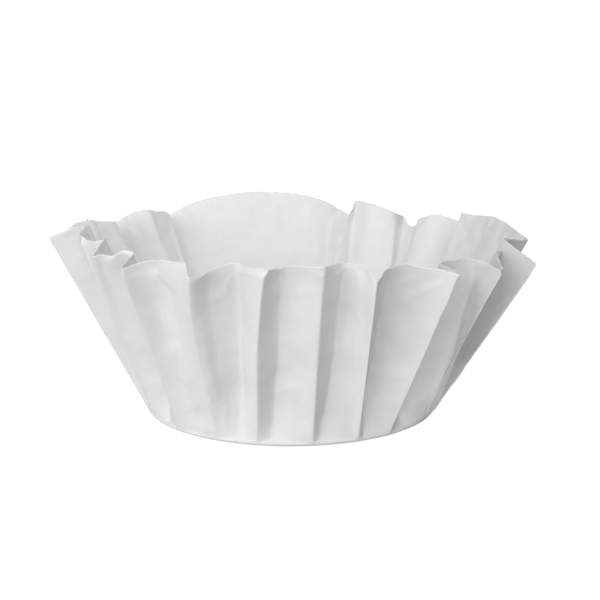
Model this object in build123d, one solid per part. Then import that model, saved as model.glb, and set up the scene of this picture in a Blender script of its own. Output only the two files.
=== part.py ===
from build123d import *
import math
import os

# Basket coffee filter: one disc of thin paper pressed into a flat floor and a
# fluted wall. Millimetres. The origin is the centre of the floor's underside,
# +Z is up. Azimuth 0 is the front (-Y) and azimuths grow towards +X.

FLAT_DIAMETER = 203.0
FLOOR_DIAMETER = 82.5
PAPER_THICKNESS = 0.15
# The paper runs straight up an outer fold. An inner fold bows, so that its two
# ends are only this share of the paper's length apart.
INNER_FOLD_SHARE = 0.94

FLOOR_RADIUS = FLOOR_DIAMETER / 2
WALL_LENGTH = (FLAT_DIAMETER - FLOOR_DIAMETER) / 2
# The wall leans at about 60 degrees: a level cut through it is a little thicker
# than the paper.
LEVEL_THICKNESS = PAPER_THICKNESS / math.sin(math.radians(60))

# The folds in order round the wall. Each has its kind, the azimuth of its foot,
# the azimuth of its tip on the rim, and the tip's splay: how far it stands outside
# the floor's circle, as a share of the wall's length. "outer" folds point away from
# the axis and "inner" folds towards it. "span" is the middle of the one smooth,
# unfolded stretch, at the back.
FOLDS = [
    ("outer", -80, -67, 0.445),
    ("inner", -74, -64, 0.315),
    ("outer", -68, -56, 0.395),
    ("inner", -65, -53, 0.28),
    ("outer", -61, -45, 0.45),
    ("inner", -54, -38, 0.335),
    ("outer", -46, -33, 0.52),
    ("inner", -37, -31.5, 0.35),
    ("outer", -27, -19, 0.535),
    ("inner", -19, -11.5, 0.375),
    ("outer", -12, -4.5, 0.515),
    ("inner", -3, -2, 0.37),
    ("outer", 8, 6.5, 0.525),
    ("inner", 17, 11.5, 0.365),
    ("outer", 25.5, 15, 0.555),
    ("inner", 32, 22, 0.375),
    ("outer", 39, 31.5, 0.56),
    ("inner", 49, 38.5, 0.37),
    ("outer", 60, 44.5, 0.54),
    ("inner", 68, 55, 0.385),
    ("outer", 76, 56.5, 0.54),
    ("inner", 86, 68, 0.32),
    ("inner", 95, 80, 0.41),
    ("inner", 107, 103, 0.39),
    ("inner", 116, 120, 0.46),
    ("inner", 124, 131, 0.495),
    ("outer", 131, 134, 0.665),
    ("inner", 137, 140.5, 0.55),
    ("inner", 142, 145.5, 0.57),
    ("outer", 147, 150, 0.68),
    ("inner", 152, 153, 0.595),
    ("inner", 158, 162, 0.495),
    ("outer", 163, 164.5, 0.665),
    ("span", 188, 188, 0.48),
    ("outer", 212, 213, 0.665),
    ("inner", 219, 214.5, 0.495),
    ("inner", 226, 221, 0.50),
    ("outer", 234, 230, 0.61),
    ("inner", 240, 236, 0.41),
    ("outer", 248, 246, 0.495),
    ("inner", 256, 256, 0.295),
    ("inner", 264, 266, 0.405),
    ("inner", 272, 280, 0.245),
]


def at_azimuth(azimuth, radius, height=0.0):
    angle = math.radians(azimuth)
    return Vector(radius * math.sin(angle), -radius * math.cos(angle), height)


def rim_tip(fold):
    kind, foot_azimuth, tip_azimuth, splay = fold
    foot = at_azimuth(foot_azimuth, FLOOR_RADIUS)
    tip = at_azimuth(tip_azimuth, FLOOR_RADIUS + splay * WALL_LENGTH)
    paper = WALL_LENGTH * (INNER_FOLD_SHARE if kind == "inner" else 1.0)
    run = (tip - foot).length
    tip.Z = math.sqrt(paper**2 - run**2)
    return tip


def inner_corner(before, corner, after):
    """The corner's partner on the inside face: both walls stepped in by the paper."""
    step_in = Vector(-(corner - before).Y, (corner - before).X, 0).normalized()
    step_out = Vector(-(after - corner).Y, (after - corner).X, 0).normalized()
    miter = (step_in + step_out) / (1 + step_in.dot(step_out))
    return corner + miter * LEVEL_THICKNESS


def floor_edge(azimuth_a, azimuth_b, radius, height):
    middle = (azimuth_a + azimuth_b) / 2
    return Edge.make_three_point_arc(
        at_azimuth(azimuth_a, radius, height),
        at_azimuth(middle, radius, height),
        at_azimuth(azimuth_b, radius, height),
    )


count = len(FOLDS)
outer_tips = [rim_tip(fold) for fold in FOLDS]
inner_tips = [
    inner_corner(outer_tips[i - 1], outer_tips[i], outer_tips[(i + 1) % count])
    for i in range(count)
]

wall = []
outer_feet = []
inner_feet = []
for i, fold in enumerate(FOLDS):
    if fold[0] == "span":
        continue
    over_span = FOLDS[(i + 1) % count][0] == "span"
    j = (i + (2 if over_span else 1)) % count
    foot_a = fold[1]
    foot_b = FOLDS[j][1] + (360 if j < i else 0)
    outer_foot = floor_edge(foot_a, foot_b, FLOOR_RADIUS, 0)
    inner_foot = floor_edge(foot_a, foot_b, FLOOR_RADIUS - LEVEL_THICKNESS, PAPER_THICKNESS)
    if over_span:
        outer_rim = Edge.make_three_point_arc(outer_tips[i], outer_tips[i + 1], outer_tips[j])
        inner_rim = Edge.make_three_point_arc(inner_tips[i], inner_tips[i + 1], inner_tips[j])
    else:
        outer_rim = Edge.make_line(outer_tips[i], outer_tips[j])
        inner_rim = Edge.make_line(inner_tips[i], inner_tips[j])
    outer_feet.append(outer_foot)
    inner_feet.append(inner_foot)
    wall.append(Face.make_surface_from_curves(outer_foot, outer_rim))
    wall.append(Face.make_surface_from_curves(inner_foot, inner_rim))
    wall.append(Face.make_surface_from_curves(outer_rim, inner_rim))

underside = Face(Wire(outer_feet))
floor_top = Face(Wire(inner_feet))
filter_paper = Solid(Shell([underside, floor_top, *wall]))

os.makedirs("parts", exist_ok=True)
export_step(filter_paper, "parts/filter_paper.step")
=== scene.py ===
"""Basket coffee filter: one disc of thin white paper pressed into a fluted cup."""

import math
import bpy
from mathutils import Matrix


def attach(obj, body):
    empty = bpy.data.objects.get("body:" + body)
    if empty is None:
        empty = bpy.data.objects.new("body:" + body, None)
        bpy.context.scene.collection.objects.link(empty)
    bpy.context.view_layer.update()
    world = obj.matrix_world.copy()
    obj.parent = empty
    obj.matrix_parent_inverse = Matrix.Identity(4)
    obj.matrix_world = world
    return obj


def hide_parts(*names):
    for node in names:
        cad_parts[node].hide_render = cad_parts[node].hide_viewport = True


bl_info = {
    "name": "Basket coffee filter",
    "version": (1, 0, 0),
    "blender": (4, 5, 0),
    "location": "View3D > Sidebar > Filter",
    "description": "Models a fluted paper coffee filter and the plain stage that it stands on",
    "category": "Add Mesh",
}

from collections import namedtuple

import bmesh
import bpy
from mathutils import Vector, noise

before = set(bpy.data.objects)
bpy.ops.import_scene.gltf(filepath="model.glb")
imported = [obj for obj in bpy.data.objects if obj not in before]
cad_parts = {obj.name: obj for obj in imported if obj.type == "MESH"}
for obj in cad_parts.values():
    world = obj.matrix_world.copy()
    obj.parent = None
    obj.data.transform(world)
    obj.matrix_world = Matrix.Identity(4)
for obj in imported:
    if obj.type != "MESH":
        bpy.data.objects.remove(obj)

MM = 0.001
CAD_NODE = "filter_paper"
PIECE_NAME = "fluted_filter"
FLAT_MAP = "flat paper"

# The folds in order round the wall. Each has its kind, the azimuth of its foot on the
# floor's edge, then its tip's azimuth, reach from the axis and height (mm), and how far
# at most the fold strays sideways (mm, growing azimuth positive). Azimuth 0 is the
# front (-Y) and azimuths grow towards +X. A ridge stands out from the cup and a valley
# lies in it. A crest or a kink is a smaller crisp fold, and an arch or a bulge is a
# soft bend inside a panel.
Fold = namedtuple("Fold", "kind foot azimuth reach height stray")
FOLDS = [
    Fold("ridge", -80, -67.2, 68.7, 52.5, 0.0),
    Fold("arch", -76, -63.5, 62.0, 55.8, 0.0),
    Fold("valley", -74, -64.5, 59.5, 55.1, 0.0),
    Fold("ridge", -67.5, -56, 65.0, 54.3, 0.7),
    Fold("arch", -67, -55, 62.5, 53.2, 0.4),
    Fold("arch", -66.6, -54, 60.1, 53.1, 0.0),
    Fold("valley", -66, -52.5, 58.0, 54.5, 0.0),
    Fold("ridge", -65, -45, 68.5, 51.0, -1.3),
    Fold("kink", -63, -44, 67.1, 51.9, -0.9),
    Fold("arch", -57.5, -41.5, 64.6, 51.8, -0.3),
    Fold("arch", -56, -40, 63.2, 53.2, 0.0),
    Fold("valley", -54, -37, 62.0, 52.6, 0.0),
    Fold("ridge", -46, -33.6, 72.5, 50.2, 0.0),
    Fold("soft valley", -37, -30.1, 66.0, 51.9, 0.0),
    Fold("arch", -34, -26.9, 68.0, 52.8, 0.0),
    Fold("ridge", -27, -20.3, 70.8, 52.8, -2.2),
    Fold("kink", -26.3, -18.9, 71.8, 49.6, -2.0),
    Fold("kink", -25, -17.1, 69.5, 49.8, -1.5),
    Fold("kink", -23, -16.2, 67.2, 50.8, -0.9),
    Fold("arch", -21, -13.3, 65.6, 52.3, 0.0),
    Fold("valley", -18.5, -11.1, 64.5, 53.0, 0.0),
    Fold("arch", -16, -8.5, 67.5, 52.3, -0.4),
    Fold("arch", -14, -6.7, 70.0, 52.2, -0.8),
    Fold("ridge", -12.2, -4.3, 72.0, 52.0, -1.0),
    Fold("valley", -7, -2.1, 64.5, 51.4, 0.5),
    Fold("arch", -3, 0.2, 66.3, 52.5, 0.0),
    Fold("arch", 1, 2.2, 68.0, 52.8, 0.0),
    Fold("arch", 5, 3.9, 70.0, 52.7, 0.0),
    Fold("ridge", 8, 6.6, 71.8, 53.0, -0.2),
    Fold("valley", 11, 10.9, 64.0, 52.3, 1.2),
    Fold("arch", 15.5, 12.2, 66.0, 52.7, 0.5),
    Fold("arch", 20, 13.6, 68.5, 52.8, 0.0),
    Fold("arch", 23, 14.4, 70.8, 52.4, 0.0),
    Fold("kink", 24.3, 15, 73.0, 50.9, 0.0),
    Fold("ridge", 25.5, 15.6, 74.5, 49.6, 0.1),
    Fold("kink", 27, 17.3, 71.5, 50.0, 0.0),
    Fold("deep valley", 28, 21.6, 63.0, 50.3, 0.8),
    Fold("arch", 30, 23.2, 64.2, 51.6, 0.6),
    Fold("arch", 32, 24.6, 66.2, 51.9, 0.4),
    Fold("arch", 36, 27.7, 69.8, 50.9, 0.2),
    Fold("arch", 37.6, 29.5, 73.0, 50.6, 0.3),
    Fold("ridge", 39, 30.8, 76.5, 49.8, 0.4),
    Fold("deep valley", 47, 35.1, 62.5, 50.2, 0.0),
    Fold("arch", 51, 42.5, 61.8, 50.2, 0.0),
    Fold("rim valley", 58.2, 48.3, 62.3, 49.7, 1.0),
    Fold("arch", 59.3, 46.6, 67.5, 49.2, 0.5),
    Fold("ridge", 60.4, 44.3, 74.0, 48.4, -0.8),
    Fold("valley", 67, 59.2, 61.5, 49.9, 0.5),
    Fold("rim valley", 74, 73.6, 61.0, 47.4, 2.5),
    Fold("arch", 75, 71.8, 64.2, 47.7, 1.5),
    Fold("arch", 75.6, 62.7, 69.0, 48.2, 0.8),
    Fold("ridge", 76, 56.9, 74.4, 47.8, 0.3),
    Fold("valley", 86, 68, 60.5, 51.7, 0.0),
    Fold("ridge", 95, 80, 66.0, 49.5, 0.0),
    Fold("valley", 107, 103.5, 64.6, 50.6, 0.0),
    Fold("arch", 113, 113, 66.5, 50.6, 0.0),
    Fold("arch", 118, 120.5, 68.3, 49.7, 0.0),
    Fold("arch", 121, 126.5, 69.8, 49.2, 0.0),
    Fold("crest", 124, 131, 71.0, 49.2, 0.0),
    Fold("ridge", 131, 134, 81.5, 43.5, 0.0),
    Fold("arch", 135, 138, 76.0, 46.3, 0.0),
    Fold("arch", 137, 141, 74.5, 46.8, 0.0),
    Fold("arch", 139, 143.8, 74.5, 46.1, 0.0),
    Fold("crest", 141, 146.3, 75.5, 44.3, 0.0),
    Fold("kink", 142.5, 147.4, 77.0, 42.3, 0.0),
    Fold("kink", 144, 149, 78.0, 41.6, -0.5),
    Fold("kink", 145.2, 150.6, 80.0, 41.6, -1.0),
    Fold("ridge", 147, 152.4, 81.0, 44.4, -1.5),
    Fold("kink", 149, 153, 75.0, 46.0, -3.0),
    Fold("arch", 152, 154.8, 73.0, 47.4, -1.5),
    Fold("arch", 156, 158, 72.5, 49.1, 0.0),
    Fold("crest", 160, 161.8, 68.5, 50.6, 0.0),
    Fold("kink", 162, 162.8, 70.0, 49.5, 0.3),
    Fold("kink", 164.5, 163.9, 72.5, 46.9, 0.8),
    Fold("ridge", 168, 165.3, 75.0, 44.5, 1.3),
    Fold("bulge", 170.5, 168.5, 73.5, 47.5, 0.6),
    Fold("bulge", 173.5, 171.5, 71.4, 49.9, 0.0),
    Fold("bulge", 178, 176.4, 70.0, 51.7, 0.0),
    Fold("bulge", 186, 185.5, 69.8, 53.2, 0.0),
    Fold("bulge", 194, 193.6, 70.0, 53.0, 0.0),
    Fold("bulge", 199, 199.5, 72.0, 51.4, 0.0),
    Fold("bulge", 203.5, 204.9, 74.5, 50.7, 0.0),
    Fold("bulge", 207, 207.3, 77.5, 48.7, 0.0),
    Fold("bulge", 210.5, 209.4, 79.5, 46.1, 0.0),
    Fold("ridge", 214, 211.6, 81.0, 45.0, 1.4),
    Fold("crest", 215, 214.7, 71.0, 47.1, 0.0),
    Fold("kink", 216, 216.3, 70.6, 47.9, 0.0),
    Fold("arch", 217.5, 220.6, 68.0, 48.5, 0.0),
    Fold("kink", 219, 224.2, 66.0, 49.9, 0.0),
    Fold("arch", 221, 226.2, 69.0, 49.5, 0.0),
    Fold("arch", 226, 227.6, 73.0, 47.3, 0.0),
    Fold("arch", 231, 229.1, 76.5, 44.8, 0.0),
    Fold("ridge", 234, 231.0, 78.0, 44.6, 0.0),
    Fold("valley", 240, 236, 66.0, 47.7, 0.0),
    Fold("ridge", 248, 246, 70.0, 48.7, 0.0),
    Fold("valley", 256, 256, 60.0, 51.3, 0.0),
    Fold("kink", 260, 260, 63.5, 51.0, 0.0),
    Fold("ridge", 264, 266, 65.5, 49.0, 0.0),
    Fold("valley", 272, 280, 56.0, 53.5, 0.0),
]

# How round each kind of fold is at the rim: the paper that the bend takes up on each
# side (mm).
FOLD_ROUNDING = {
    "ridge": 0.5,
    "crest": 0.7,
    "kink": 0.9,
    "valley": 1.8,
    "arch": 2.2,
    "soft valley": 4.5,
    "rim valley": 2.2,
    "deep valley": 1.8,
    "bulge": 6.0,
}
# How far each kind of fold bows in towards the axis (mm), or out where it is negative.
# A fold of any other kind takes its share of the bows of the listed folds beside it.
FOLD_BOW = {
    "ridge": 0.0,
    "crest": 0.8,
    "valley": 3.2,
    "soft valley": 1.0,
    "rim valley": -1.2,
    "deep valley": 5.0,
    "bulge": 1.0,
}
# Below 1, a bow is deepest nearer the floor. Above 1, a fold strays most nearer the rim.
BOW_LOWNESS = 0.65
STRAY_HIGHNESS = 1.4
# The share of a fold's rounding that is left at the floor's edge.
ROUNDING_AT_FOOT = 0.5

# How closely the points of the paper lie: columns to a panel, for each mm of its rim,
# rows up the wall, and points averaged round a fold. Columns crowd towards the folds,
# and rows towards the floor and the rim, unless their evenness is 1.
FEWEST_COLUMNS = 3
SPARE_COLUMNS = 2.5
COLUMNS_PER_MM = 0.62
COLUMN_EVENNESS = 0.3
WALL_ROWS = 56
ROW_EVENNESS = 0.35
ROUNDING_SAMPLES = 9
# Where the rows of the heel's bend and of the floor lie, as shares of each one's width.
HEEL_STEPS = (0.35, 0.7, 1.0)
FLOOR_STEPS = (0.1, 0.25, 0.4, 0.55, 0.7, 0.82, 0.92)

# Places where handling has pushed the paper. Each has the number of a ridge, counted
# along FOLDS from 1, the distance past that ridge along the rim and the distance below
# the rim, the half-width and half-height of the push, how far it moves the paper out,
# along the rim and up (all mm), and whether it is "crisp", with straight sides, or "soft".
PUSHES = [
    (1, 2.5, 0.0, 3.0, 2.0, (-0.9, 0.5, 0.3), "crisp"),
    (1, 6.0, 0.5, 2.4, 1.6, (0.9, 0.0, -0.3), "crisp"),
    (2, 0.0, 0.0, 2.4, 2.4, (-1.2, 0.4, 0.0), "crisp"),
    (3, 4.0, 0.0, 2.6, 2.0, (-1.0, 0.0, -0.4), "crisp"),
    (3, 9.5, 1.5, 2.6, 3.0, (0.7, 0.0, 0.0), "soft"),
    (4, 0.0, 0.0, 1.6, 2.0, (-0.8, 0.3, 0.0), "crisp"),
    (4, 7.0, 2.5, 3.0, 3.2, (-0.35, 0.0, 0.0), "soft"),
    (5, -0.5, 0.0, 4.0, 3.0, (-0.3, 0.7, 0.1), "crisp"),
    (5, 8.0, 5.5, 2.4, 4.5, (-0.9, 0.0, 0.0), "soft"),
    (6, 0.0, 0.0, 1.5, 2.0, (-1.7, 0.9, -0.3), "crisp"),
    (6, -1.6, 0.0, 1.2, 1.6, (0.0, 0.0, 0.7), "crisp"),
    (7, 0.0, 2.8, 0.7, 0.8, (0.6, -0.2, 0.1), "crisp"),
    (7, 5.5, 0.0, 1.5, 1.2, (0.0, 0.0, 0.5), "crisp"),
    (8, 0.0, 0.0, 1.5, 2.0, (-0.8, 0.2, -0.2), "crisp"),
    (9, 5.0, 0.0, 6.0, 1.8, (0.2, 1.5, 0.0), "crisp"),
    (9, -9.0, 0.0, 12.0, 8.5, (1.2, 0.0, 0.0), "crisp"),
    (9, -1.0, 8.0, 8.0, 6.0, (0.5, 0.0, 0.0), "soft"),
    (10, -4.0, 8.0, 4.0, 5.0, (-0.9, 0.0, 0.0), "soft"),
    (10, 0.5, 0.0, 1.6, 1.4, (-0.9, -0.3, 0.2), "crisp"),
    (11, -4.5, 0.0, 6.0, 7.5, (-1.4, 0.0, 0.0), "crisp"),
    (16, -20.5, 22.0, 3.6, 40.0, (0.6, 0.0, 0.0), "soft"),
    (18, 3.0, 0.0, 2.6, 2.2, (-0.9, 0.5, 0.3), "crisp"),
    (18, 7.0, 0.0, 2.2, 1.6, (0.8, 0.0, 0.6), "crisp"),
    (19, 4.0, 0.0, 2.4, 2.0, (-0.8, 0.4, 0.3), "crisp"),
]

# The wrinkles of the wall: the width of each kind on the paper (mm) and its share of
# the wrinkle depth. Ripples stand upright, so they have a count to a radian instead.
WAVE_WIDTH = 13
WAVE_SHARE = 1.2
BUCKLE_WIDTH = 5.5
BUCKLE_SHARE = 0.45
CREASE_WIDTH = 8
CREASE_SHARE = 0.35
CREASE_SHARPNESS = 7
RIPPLE_COUNT = 30
RIPPLE_WAVERING = 4.0
RIPPLE_SHARE = 0.3
# A ridge keeps only this share of the wrinkles, which are whole again this far from it.
CALM_AT_RIDGE = 0.12
CALM_WIDTH = 6 * MM
# The wrinkles fade in over the lowest part of the wall, one fifth of its height.
WRINKLE_RISE = 5
# The rim is uneven by this much, in this depth of paper below it.
RIM_ROUGHNESS = 0.3 * MM
RIM_BAND = 1.6 * MM
RIM_WAVE_COUNT = 60
RIM_NICK_COUNT = 160
RIM_NICK_SHARE = 0.5
# The floor lifts a little inside its edge, in waves of this width (mm).
FLOOR_LIFT = 0.25 * MM
FLOOR_EASE = 6 * MM
FLOOR_WAVE_WIDTH = 9
# Outward is taken to be away from the axis and this much down (m).
OUTWARD_DROP = 0.02

# The finish of the paper. The scales are of patterns on the flat disc, 1 across.
FIBRE_SCALE = 330
FIBRE_RELIEF = 0.06 * MM
FIBRE_STRENGTH = 0.35
CREPE_SCALE = 140
CREPE_STRETCH = (1.0, 0.25, 1.0)
CREPE_RELIEF = 0.12 * MM
CREPE_STRENGTH = 0.5
CLOUD_SCALE = 60
CLOUD_SHADE = 0.93
PAPER_ROUGHNESS = 0.9
PAPER_SHEEN = 0.2

# The soft boxes round the stage: which way each lies from the filter, and its
# brightness. A higher focus makes every box narrower.
SOFT_BOXES = [
    ((-1, 0, 0), 0.3),
    ((0, -1, 0), 0.95),
    ((0, 0, 1), 0.45),
    ((0, 0, -1), 0.45),
    ((-1, -1, 1), 1.16),
    ((-1, -1, 0), 1.05),
    ((-1, -1, -1), 0.95),
    ((0, -1, 1), 0.8),
    ((1, -1, 1), 1.06),
    ((1, 1, 1), 0.5),
    ((0, 1, 1), 0.3),
]
SOFT_BOX_FOCUS = 4.0
BACKDROP_BRIGHTNESS = 1.05
FLOOR_GLOW = 0.96
FLOOR_HALF_WIDTH = 3
# The stage's floor lies just below the paper, so that the two never share a plane.
FLOOR_GAP = 0.05 * MM

CAMERA_PLACE = (0.0025, -0.350, 0.1034)
CAMERA_DIP = 11.8
CAMERA_LENS = 75.1
CAMERA_SENSOR = 36.0
CAMERA_NEAR = 0.01


class FilterSettings(bpy.types.PropertyGroup):
    """Sizes and finish of the filter"""

    floor_diameter: bpy.props.FloatProperty(
        name="Floor diameter",
        description="Across the flat floor, fold to fold",
        default=0.0825,
        min=0.02,
        subtype="DISTANCE",
        unit="LENGTH",
    )
    flat_diameter: bpy.props.FloatProperty(
        name="Flat diameter",
        description="Across the disc of paper before it is pressed",
        default=0.203,
        min=0.05,
        subtype="DISTANCE",
        unit="LENGTH",
    )
    paper_thickness: bpy.props.FloatProperty(
        name="Paper thickness",
        description="Thickness of the filter paper",
        default=0.00015,
        min=0.00005,
        precision=5,
        subtype="DISTANCE",
        unit="LENGTH",
    )
    heel_rounding: bpy.props.FloatProperty(
        name="Heel rounding",
        description="Paper taken up by the bend between floor and wall, each side",
        default=0.0012,
        min=0.0002,
        subtype="DISTANCE",
        unit="LENGTH",
    )
    wrinkle_depth: bpy.props.FloatProperty(
        name="Wrinkle depth",
        description="How far the soft wrinkles move the paper",
        default=0.0007,
        min=0.0,
        precision=5,
        subtype="DISTANCE",
        unit="LENGTH",
    )
    paper_colour: bpy.props.FloatVectorProperty(
        name="Paper colour",
        description="Colour of the bleached paper",
        default=(0.86, 0.86, 0.86),
        min=0.0,
        max=1.0,
        subtype="COLOR",
        size=3,
    )
    see_through: bpy.props.FloatProperty(
        name="See-through",
        description="Share of light that the thin paper lets through",
        default=0.12,
        min=0.0,
        max=1.0,
        subtype="FACTOR",
    )


class StageSettings(bpy.types.PropertyGroup):
    """Light and floor of the stage"""

    tent_strength: bpy.props.FloatProperty(
        name="Tent brightness",
        description="Brightness of the white walls round the stage",
        default=1.0,
        min=0.0,
    )
    floor_colour: bpy.props.FloatVectorProperty(
        name="Floor colour",
        description="Colour of the stage's floor",
        default=(0.12, 0.12, 0.12),
        min=0.0,
        max=1.0,
        subtype="COLOR",
        size=3,
    )


# ---- the paper's shape -------------------------------------------------------


def on_circle(azimuth, reach, height):
    """A point at an azimuth in degrees, a reach from the axis and a height."""
    angle = math.radians(azimuth)
    return Vector((reach * math.sin(angle), -reach * math.cos(angle), height))


def tip_of(fold, unit=1, turn=0):
    """The place of a fold's tip, in mm or in another unit, after a turn in degrees."""
    return on_circle(fold.azimuth + turn, fold.reach * unit, fold.height * unit)


def blend(a, b, share):
    """The value at a share of the way from a to b."""
    return a + (b - a) * share


def eased(even, evenness):
    """An even share of the way, drawn towards the nearer end."""
    slow = (1 - math.cos(math.pi * even)) / 2
    return evenness * even + (1 - evenness) * slow


def lengths_along(points):
    """How far along a closed line each point is, and last the whole length."""
    lengths = [0.0]
    for near, far in zip(points, points[1:] + points[:1]):
        lengths.append(lengths[-1] + (far - near).length)
    return lengths


def rounded(points, reaches):
    """A closed line with each point moved to the mean of the line near it."""
    lengths = lengths_along(points)
    total = lengths[-1]
    count = len(points)

    def place_of(number):
        """How far along a point is, counting on past either end of the line."""
        return lengths[number % count] + total * (number // count)

    result = []
    for index, reach in enumerate(reaches):
        mean = Vector((0, 0, 0))
        for sample in range(ROUNDING_SAMPLES):
            offset = reach * (2 * (sample + 0.5) / ROUNDING_SAMPLES - 1)
            place = lengths[index] + offset
            at = index
            while place < place_of(at):
                at -= 1
            while place > place_of(at + 1):
                at += 1
            step = place_of(at + 1) - place_of(at)
            share = (place - place_of(at)) / max(step, 1e-9)
            mean += points[at % count].lerp(points[(at + 1) % count], share)
        result.append(mean / ROUNDING_SAMPLES)
    return result


def panel_columns():
    """The columns of points round the wall, as (fold, share of the way to the next)."""
    columns = []
    for index, fold in enumerate(FOLDS):
        following = FOLDS[(index + 1) % len(FOLDS)]
        width = (tip_of(fold) - tip_of(following)).length
        count = max(FEWEST_COLUMNS, round(SPARE_COLUMNS + width * COLUMNS_PER_MM))
        for step in range(count):
            columns.append((index, eased(step / count, COLUMN_EVENNESS)))
    return columns


def nearest_bowed(index, step):
    """The nearest fold whose kind has a bow of its own, one way round the wall."""
    while FOLDS[index].kind not in FOLD_BOW:
        index = (index + step) % len(FOLDS)
    return FOLDS[index]


def fold_bow(index):
    """How far a fold bows in (mm)."""
    fold = FOLDS[index]
    if fold.kind in FOLD_BOW:
        return FOLD_BOW[fold.kind]
    before = nearest_bowed(index, -1)
    after = nearest_bowed(index, 1)
    back = (tip_of(before) - tip_of(fold)).length
    ahead = (tip_of(after) - tip_of(fold)).length
    return blend(FOLD_BOW[before.kind], FOLD_BOW[after.kind], back / (back + ahead))


class Wall:
    """Places points on the heel and on the ruled, bowed wall, up to the rim."""

    def __init__(self, settings):
        self.floor_radius = settings.floor_diameter / 2
        self.length = (settings.flat_diameter - settings.floor_diameter) / 2
        self.flat_radius = self.floor_radius + self.length
        self.heel = settings.heel_rounding
        self.level = settings.paper_thickness / 2
        self.columns = panel_columns()
        self.bows = [fold_bow(index) for index in range(len(FOLDS))]
        self.rim_places = lengths_along(self.ring(1))
        self.ridges = [
            number
            for number, (index, share) in enumerate(self.columns)
            if FOLDS[index].kind == "ridge" and share == 0
        ]

    def neighbours(self, column):
        """The folds before and after a column, the turn that the second one's azimuths
        need (degrees), and the column's share of the way between the folds."""
        index, share = column
        if index == len(FOLDS) - 1:
            return FOLDS[index], FOLDS[0], 360, share
        return FOLDS[index], FOLDS[index + 1], 0, share

    def foot(self, column):
        near, far, turn, share = self.neighbours(column)
        azimuth = blend(near.foot, far.foot + turn, share)
        return on_circle(azimuth, self.floor_radius, self.level)

    def tip(self, column):
        near, far, turn, share = self.neighbours(column)
        return tip_of(near, MM).lerp(tip_of(far, MM, turn), share)

    def rounding(self, column):
        near, far, turn, share = self.neighbours(column)
        return blend(FOLD_ROUNDING[near.kind], FOLD_ROUNDING[far.kind], share) * MM

    def sway(self, column, up):
        """How far the wall bows and strays from straight, at a share of its height."""
        near, far, turn, share = self.neighbours(column)
        index = column[0]
        bow = blend(self.bows[index], self.bows[(index + 1) % len(FOLDS)], share) * MM
        stray = blend(near.stray, far.stray, share) * MM
        angle = math.radians(blend(near.azimuth, far.azimuth + turn, share))
        inward = Vector((-math.sin(angle), math.cos(angle), 0))
        sideways = Vector((math.cos(angle), math.sin(angle), 0))
        low_arch = math.sin(math.pi * up**BOW_LOWNESS)
        high_arch = math.sin(math.pi * up**STRAY_HIGHNESS)
        return inward * bow * low_arch + sideways * stray * high_arch

    def ring(self, up):
        """The closed line of points at a share of the way up the wall."""
        points = []
        reaches = []
        for column in self.columns:
            straight = self.foot(column).lerp(self.tip(column), up)
            points.append(straight + self.sway(column, up))
            reaches.append(self.rounding(column) * blend(ROUNDING_AT_FOOT, 1, up))
        return rounded(points, reaches)

    def inward(self, foot):
        """The way across the floor from a foot to the middle."""
        return (Vector((0, 0, self.level)) - foot).normalized()

    def heel_ring(self, along):
        """Points of the heel's bend at a signed distance from the floor's edge."""
        floorward = (self.heel - along) ** 2 / (4 * self.heel)
        wallward = (self.heel + along) ** 2 / (4 * self.heel)
        points = []
        for column in self.columns:
            foot = self.foot(column)
            rise = (self.tip(column) - foot).normalized()
            points.append(foot + self.inward(foot) * floorward + rise * wallward)
        return points

    def floor_ring(self, inset):
        """Points of the floor at a distance inside its edge."""
        feet = [self.foot(column) for column in self.columns]
        return [foot + self.inward(foot) * inset for foot in feet]

    def turn(self, number):
        """The angle of a column on the flat disc, in radians."""
        return 2 * math.pi * self.rim_places[number] / self.rim_places[-1]

    def past(self, number, start):
        """How far along the rim a column is past another, the shorter way round."""
        total = self.rim_places[-1]
        gap = self.rim_places[number] - self.rim_places[start]
        return (gap + total / 2) % total - total / 2


def pull_ring(bm, edges, points, run):
    """Extrudes a closed ring of edges once and moves its new points into place.

    run is the ring's distance from the disc's middle, on the flat paper.
    """
    made = bmesh.ops.extrude_edge_only(bm, edges=edges)["geom"]
    ring = {item for item in made if isinstance(item, bmesh.types.BMVert)}
    column = bm.verts.layers.int["column"]
    run_layer = bm.verts.layers.float["run"]
    for vert in ring:
        joined = [edge.other_vert(vert) for edge in vert.link_edges]
        old = next(other for other in joined if other not in ring)
        vert[column] = old[column]
        vert[run_layer] = run
        vert.co = points[old[column]]
    new_edges = [item for item in made if isinstance(item, bmesh.types.BMEdge)]
    return [edge for edge in new_edges if set(edge.verts) <= ring]


def raise_wall(bm, wall, edges):
    """Pulls the wall up from the ring at the floor's edge to the rim."""
    for share in HEEL_STEPS:
        along = share * wall.heel
        edges = pull_ring(bm, edges, wall.heel_ring(along), wall.floor_radius + along)
    low = wall.heel / wall.length
    for row in range(1, WALL_ROWS + 1):
        up = blend(low, 1, eased(row / WALL_ROWS, ROW_EVENNESS))
        edges = pull_ring(bm, edges, wall.ring(up), wall.floor_radius + up * wall.length)


def spread_floor(bm, wall, edges):
    """Pulls the floor in from the ring at its edge and closes its middle."""
    for share in HEEL_STEPS:
        along = -share * wall.heel
        edges = pull_ring(bm, edges, wall.heel_ring(along), wall.floor_radius + along)
    for share in FLOOR_STEPS:
        inset = wall.heel + share * (wall.floor_radius - wall.heel)
        edges = pull_ring(bm, edges, wall.floor_ring(inset), wall.floor_radius - inset)
    bmesh.ops.contextual_create(bm, geom=edges)
    bmesh.ops.poke(bm, faces=[face for face in bm.faces if len(face.verts) > 4])


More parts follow.
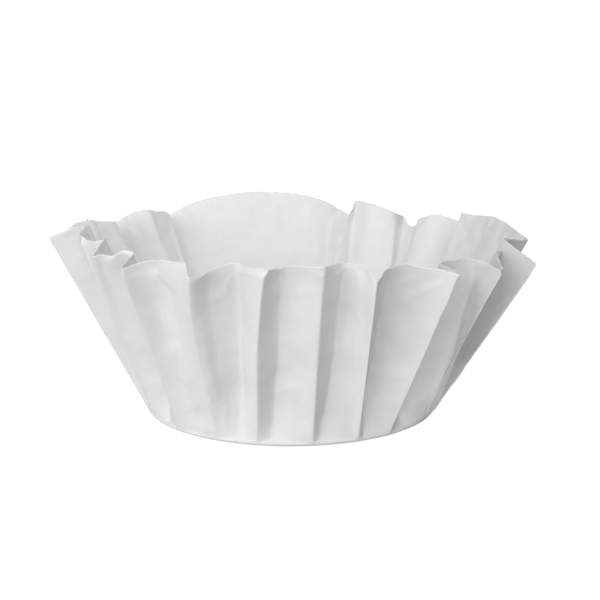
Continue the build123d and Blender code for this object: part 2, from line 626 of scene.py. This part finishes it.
def press_paper(bm, wall):
    """Turns a ring at the floor's edge into the floor and the fluted wall."""
    column = bm.verts.layers.int.new("column")
    run_layer = bm.verts.layers.float.new("run")
    ring = bmesh.ops.create_circle(
        bm, cap_ends=False, radius=wall.floor_radius, segments=len(wall.columns)
    )
    for number, (vert, place) in enumerate(zip(ring["verts"], wall.heel_ring(0))):
        vert[column] = number
        vert[run_layer] = wall.floor_radius
        vert.co = place
    first_edges = list(bm.edges)
    raise_wall(bm, wall, first_edges)
    spread_floor(bm, wall, first_edges)
    bmesh.ops.recalc_face_normals(bm, faces=bm.faces)


def face_outward(bm):
    """Turns the sheet's faces so that they point away from the cup's inside."""
    total = 0.0
    for face in bm.faces:
        centre = face.calc_center_median()
        away = Vector((centre.x, centre.y, -OUTWARD_DROP))
        total += face.normal.dot(away.normalized()) * face.calc_area()
    if total < 0:
        bmesh.ops.reverse_faces(bm, faces=bm.faces)


def push_paper(bm, wall):
    """Bends tips in, dents panels and curls the rim, as handling does."""
    column = bm.verts.layers.int["column"]
    run_layer = bm.verts.layers.float["run"]
    for number, past, below, half_width, half_height, move, edge in PUSHES:
        ridge = wall.ridges[number - 1]
        out, along, up = (value * MM for value in move)
        angle = math.radians(FOLDS[wall.columns[ridge][0]].azimuth)
        outward = Vector((math.sin(angle), -math.cos(angle), 0))
        sideways = Vector((math.cos(angle), math.sin(angle), 0))
        shift = outward * out + sideways * along + Vector((0, 0, up))
        for vert in bm.verts:
            run = vert[run_layer]
            if run <= wall.floor_radius:
                continue
            across = wall.past(vert[column], ridge) * run / wall.flat_radius - past * MM
            down = wall.flat_radius - run - below * MM
            away = math.hypot(across / half_width, down / half_height) / MM
            if away < 1:
                vert.co += shift * (1 - away if edge == "crisp" else (1 - away**2) ** 2)


def ridge_calm(wall, number):
    """The share of the wrinkles that a column keeps, which is small near a ridge."""
    gap = min(abs(wall.past(number, ridge)) for ridge in wall.ridges)
    return min(1.0, CALM_AT_RIDGE + gap / CALM_WIDTH)


def wrinkle(flat, turn, up):
    """How deep the wrinkles are at a place on the flat paper, in wrinkle depths.

    Each kind reads its own far part of the noise, so that no two run together.
    """
    wave = noise.noise(flat / WAVE_WIDTH + Vector((3, 7, 1)))
    buckle = noise.noise(flat / BUCKLE_WIDTH + Vector((30, 7, 4)))
    ripple = noise.noise(Vector((turn * RIPPLE_COUNT, up * RIPPLE_WAVERING, 8)))
    line = abs(noise.noise(flat / CREASE_WIDTH + Vector((40, 2, 9))))
    crease = max(0.0, 1 - line * CREASE_SHARPNESS)
    return (
        wave * WAVE_SHARE
        + buckle * BUCKLE_SHARE
        + ripple * RIPPLE_SHARE
        + crease * CREASE_SHARE
    )


def rim_lift(wall, turn, run):
    """How far the uneven rim lifts the paper near it."""
    rough = noise.noise(Vector((turn * RIM_WAVE_COUNT, 5, 2)))
    rough += RIM_NICK_SHARE * noise.noise(Vector((turn * RIM_NICK_COUNT, 1, 6)))
    near_rim = max(0.0, 1 - (wall.flat_radius - run) / RIM_BAND)
    return Vector((0, 0, RIM_ROUGHNESS * rough * near_rim))


def floor_lift(wall, flat, run):
    """How far the floor lifts off what the filter stands on."""
    lift = 0.5 + noise.noise(flat / FLOOR_WAVE_WIDTH)
    inside = min(1.0, (wall.floor_radius - run) / FLOOR_EASE)
    return Vector((0, 0, FLOOR_LIFT * lift * inside))


def wrinkle_paper(bm, wall, depth):
    """Soft waves, fine creases, a slightly uneven rim and a slightly wavy floor."""
    calm = [ridge_calm(wall, number) for number in range(len(wall.columns))]
    column = bm.verts.layers.int["column"]
    run_layer = bm.verts.layers.float["run"]
    bm.normal_update()
    moves = []
    for vert in bm.verts:
        run = vert[run_layer]
        turn = wall.turn(vert[column])
        flat = Vector((run * math.cos(turn), run * math.sin(turn), 0)) / MM
        if run <= wall.floor_radius:
            moves.append(floor_lift(wall, flat, run))
            continue
        up = (run - wall.floor_radius) / wall.length
        fade = min(1.0, up * WRINKLE_RISE) * calm[vert[column]]
        move = vert.normal * wrinkle(flat, turn, up) * depth * fade
        moves.append(move + rim_lift(wall, turn, run))
    for vert, move in zip(bm.verts, moves):
        vert.co += move


def lay_out_flat(bm, wall):
    """Gives every point its place on the flat disc, as the piece's UV map."""
    column = bm.verts.layers.int["column"]
    run_layer = bm.verts.layers.float["run"]
    uv_layer = bm.loops.layers.uv.new(FLAT_MAP)
    for face in bm.faces:
        for loop in face.loops:
            turn = wall.turn(loop.vert[column])
            reach = loop.vert[run_layer] / (2 * wall.flat_radius)
            loop[uv_layer].uv = (0.5 + reach * math.cos(turn), 0.5 + reach * math.sin(turn))


# ---- materials ---------------------------------------------------------------


def noise_pattern(tree, vector, scale, detail, distortion=0.0):
    """A noise pattern's value, read at the places that a vector socket gives."""
    pattern = tree.nodes.new("ShaderNodeTexNoise")
    pattern.inputs["Scale"].default_value = scale
    pattern.inputs["Detail"].default_value = detail
    pattern.inputs["Distortion"].default_value = distortion
    tree.links.new(vector, pattern.inputs["Vector"])
    return pattern.outputs["Fac"]


def relief(tree, height, strength, distance):
    """A bump node for a pattern's value."""
    bump = tree.nodes.new("ShaderNodeBump")
    bump.inputs["Strength"].default_value = strength
    bump.inputs["Distance"].default_value = distance
    tree.links.new(height, bump.inputs["Height"])
    return bump


def paper_relief(tree, flat_place):
    """The normal of the paper's face: loose fibres over the stretched crepe."""
    stretch = tree.nodes.new("ShaderNodeMapping")
    stretch.inputs["Scale"].default_value = CREPE_STRETCH
    tree.links.new(flat_place, stretch.inputs["Vector"])
    crepe = noise_pattern(tree, stretch.outputs["Vector"], CREPE_SCALE, detail=3)
    fibres = noise_pattern(tree, flat_place, FIBRE_SCALE, detail=4, distortion=1.5)
    crepe_bump = relief(tree, crepe, CREPE_STRENGTH, CREPE_RELIEF)
    fibre_bump = relief(tree, fibres, FIBRE_STRENGTH, FIBRE_RELIEF)
    tree.links.new(crepe_bump.outputs["Normal"], fibre_bump.inputs["Normal"])
    return fibre_bump.outputs["Normal"]


def paper_tint(tree, flat_place, colour):
    """The paper's colour, a shade darker in faint clouds."""
    clouds = noise_pattern(tree, flat_place, CLOUD_SCALE, detail=3)
    tint = tree.nodes.new("ShaderNodeMixRGB")
    tint.inputs["Color1"].default_value = (*colour, 1)
    tint.inputs["Color2"].default_value = (*(CLOUD_SHADE * value for value in colour), 1)
    tree.links.new(clouds, tint.inputs["Fac"])
    return tint.outputs["Color"]


def paper_material(settings):
    """Bleached filter paper: matt, fibrous and a little see-through."""
    material = bpy.data.materials.new("filter_paper_white")
    material.use_nodes = True
    tree = material.node_tree
    tree.nodes.clear()
    output = tree.nodes.new("ShaderNodeOutputMaterial")
    mix = tree.nodes.new("ShaderNodeMixShader")
    mix.inputs["Fac"].default_value = settings.see_through
    colour = tuple(settings.paper_colour)
    paper = tree.nodes.new("ShaderNodeBsdfPrincipled")
    paper.inputs["Base Color"].default_value = (*colour, 1)
    paper.inputs["Roughness"].default_value = PAPER_ROUGHNESS
    paper.inputs["Specular IOR Level"].default_value = PAPER_SHEEN
    glow = tree.nodes.new("ShaderNodeBsdfTranslucent")
    glow.inputs["Color"].default_value = (*colour, 1)
    place = tree.nodes.new("ShaderNodeUVMap")
    place.uv_map = FLAT_MAP
    normal = paper_relief(tree, place.outputs["UV"])
    tint = paper_tint(tree, place.outputs["UV"], colour)
    tree.links.new(normal, paper.inputs["Normal"])
    tree.links.new(normal, glow.inputs["Normal"])
    tree.links.new(tint, paper.inputs["Base Color"])
    tree.links.new(tint, glow.inputs["Color"])
    tree.links.new(paper.outputs["BSDF"], mix.inputs[1])
    tree.links.new(glow.outputs["BSDF"], mix.inputs[2])
    tree.links.new(mix.outputs["Shader"], output.inputs["Surface"])
    return material


def stage_material(settings):
    """Plain matt white that glows, so that the floor shows no edge."""
    material = bpy.data.materials.new("stage_white")
    material.use_nodes = True
    shader = material.node_tree.nodes["Principled BSDF"]
    shader.inputs["Base Color"].default_value = (*settings.floor_colour, 1)
    shader.inputs["Roughness"].default_value = 1.0
    shader.inputs["Specular IOR Level"].default_value = 0.0
    shader.inputs["Emission Color"].default_value = (1, 1, 1, 1)
    shader.inputs["Emission Strength"].default_value = FLOOR_GLOW
    return material


# ---- the stage ---------------------------------------------------------------


def make_floor(context, settings):
    """A plain floor that the filter stands on."""
    bm = bmesh.new()
    bmesh.ops.create_grid(bm, x_segments=1, y_segments=1, size=FLOOR_HALF_WIDTH)
    bmesh.ops.translate(bm, verts=bm.verts, vec=(0, 0, -FLOOR_GAP))
    mesh = bpy.data.meshes.new("stage_floor")
    bm.to_mesh(mesh)
    bm.free()
    mesh.materials.append(stage_material(settings))
    floor = bpy.data.objects.new("stage_floor", mesh)
    floor.visible_diffuse = False
    floor.visible_glossy = False
    floor.visible_transmission = False
    context.scene.collection.objects.link(floor)


def math_node(tree, operation, first, second):
    """A math node of one linked value and one number."""
    made = tree.nodes.new("ShaderNodeMath")
    made.operation = operation
    made.inputs[1].default_value = second
    tree.links.new(first, made.inputs[0])
    return made


def soft_box(tree, outlook, direction, brightness):
    """The light of one soft box: strongest straight towards it, none from behind."""
    facing = tree.nodes.new("ShaderNodeVectorMath")
    facing.operation = "DOT_PRODUCT"
    facing.inputs[1].default_value = Vector(direction).normalized()
    tree.links.new(outlook, facing.inputs[0])
    lobe = math_node(tree, "MAXIMUM", facing.outputs["Value"], 0.0)
    spread = math_node(tree, "POWER", lobe.outputs["Value"], SOFT_BOX_FOCUS)
    gain = math_node(tree, "MULTIPLY_ADD", spread.outputs["Value"], brightness)
    gain.inputs[2].default_value = 0.0
    return gain


def make_tent(context, settings):
    """White cloth all round, lit by broad soft boxes outside it."""
    world = bpy.data.worlds.new("light tent")
    world.use_nodes = True
    tree = world.node_tree
    tree.nodes.clear()
    output = tree.nodes.new("ShaderNodeOutputWorld")
    mix = tree.nodes.new("ShaderNodeMixShader")
    backdrop = tree.nodes.new("ShaderNodeBackground")
    backdrop.inputs["Color"].default_value = (1, 1, 1, 1)
    backdrop.inputs["Strength"].default_value = BACKDROP_BRIGHTNESS
    tent = tree.nodes.new("ShaderNodeBackground")
    path = tree.nodes.new("ShaderNodeLightPath")
    outlook = tree.nodes.new("ShaderNodeTexCoord").outputs["Generated"]
    so_far = None
    for direction, brightness in SOFT_BOXES:
        box = soft_box(tree, outlook, direction, brightness * settings.tent_strength)
        if so_far is not None:
            tree.links.new(so_far, box.inputs[2])
        so_far = box.outputs["Value"]
    tree.links.new(so_far, tent.inputs["Strength"])
    tree.links.new(path.outputs["Is Camera Ray"], mix.inputs["Fac"])
    tree.links.new(tent.outputs["Background"], mix.inputs[1])
    tree.links.new(backdrop.outputs["Background"], mix.inputs[2])
    tree.links.new(mix.outputs["Shader"], output.inputs["Surface"])
    context.scene.world = world


def make_camera(context):
    """A camera in front of the filter and a little above it."""
    data = bpy.data.cameras.new("camera")
    data.lens = CAMERA_LENS
    data.sensor_width = CAMERA_SENSOR
    data.clip_start = CAMERA_NEAR
    camera = bpy.data.objects.new("camera", data)
    camera.location = CAMERA_PLACE
    camera.rotation_euler = (math.radians(90 - CAMERA_DIP), 0, 0)
    context.scene.collection.objects.link(camera)
    context.scene.camera = camera
    context.scene.view_settings.view_transform = "Standard"


# ---- operators ---------------------------------------------------------------


class FILTER_OT_press_paper(bpy.types.Operator):
    """Presses the disc of paper into the fluted cup"""

    bl_idname = "filter.press_paper"
    bl_label = "Press the paper"

    def execute(self, context):
        settings = context.scene.filter_settings
        wall = Wall(settings)
        bm = bmesh.new()
        press_paper(bm, wall)
        face_outward(bm)
        push_paper(bm, wall)
        wrinkle_paper(bm, wall, settings.wrinkle_depth)
        lay_out_flat(bm, wall)
        mesh = bpy.data.meshes.new(PIECE_NAME)
        bm.to_mesh(mesh)
        bm.free()
        mesh.shade_smooth()
        mesh.materials.append(paper_material(settings))
        piece = bpy.data.objects.new(PIECE_NAME, mesh)
        context.scene.collection.objects.link(piece)
        thickness = piece.modifiers.new("paper thickness", "SOLIDIFY")
        thickness.thickness = settings.paper_thickness
        thickness.offset = 0
        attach(piece, "root")
        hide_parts(CAD_NODE)
        return {"FINISHED"}


class FILTER_OT_set_stage(bpy.types.Operator):
    """Sets up the plain floor, the soft light and the camera"""

    bl_idname = "filter.set_stage"
    bl_label = "Set the stage"

    def execute(self, context):
        settings = context.scene.stage_settings
        make_floor(context, settings)
        make_tent(context, settings)
        make_camera(context)
        return {"FINISHED"}


STEPS = (FILTER_OT_press_paper, FILTER_OT_set_stage)


class FILTER_PT_panel(bpy.types.Panel):
    """Lists the filter's settings and the steps that make it"""

    bl_idname = "FILTER_PT_panel"
    bl_label = "Coffee filter"
    bl_space_type = "VIEW_3D"
    bl_region_type = "UI"
    bl_category = "Filter"

    def draw(self, context):
        layout = self.layout
        for group in (context.scene.filter_settings, context.scene.stage_settings):
            for name in group.__annotations__:
                layout.prop(group, name)
        for step in STEPS:
            layout.operator(step.bl_idname)


CLASSES = (FilterSettings, StageSettings) + STEPS + (FILTER_PT_panel,)


def register():
    for each in CLASSES:
        bpy.utils.register_class(each)
    bpy.types.Scene.filter_settings = bpy.props.PointerProperty(type=FilterSettings)
    bpy.types.Scene.stage_settings = bpy.props.PointerProperty(type=StageSettings)


def unregister():
    del bpy.types.Scene.stage_settings
    del bpy.types.Scene.filter_settings
    for each in reversed(CLASSES):
        bpy.utils.unregister_class(each)


def main():
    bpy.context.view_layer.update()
    register()
    bpy.ops.filter.press_paper()
    bpy.ops.filter.set_stage()


if __name__ == "__main__":
    main()
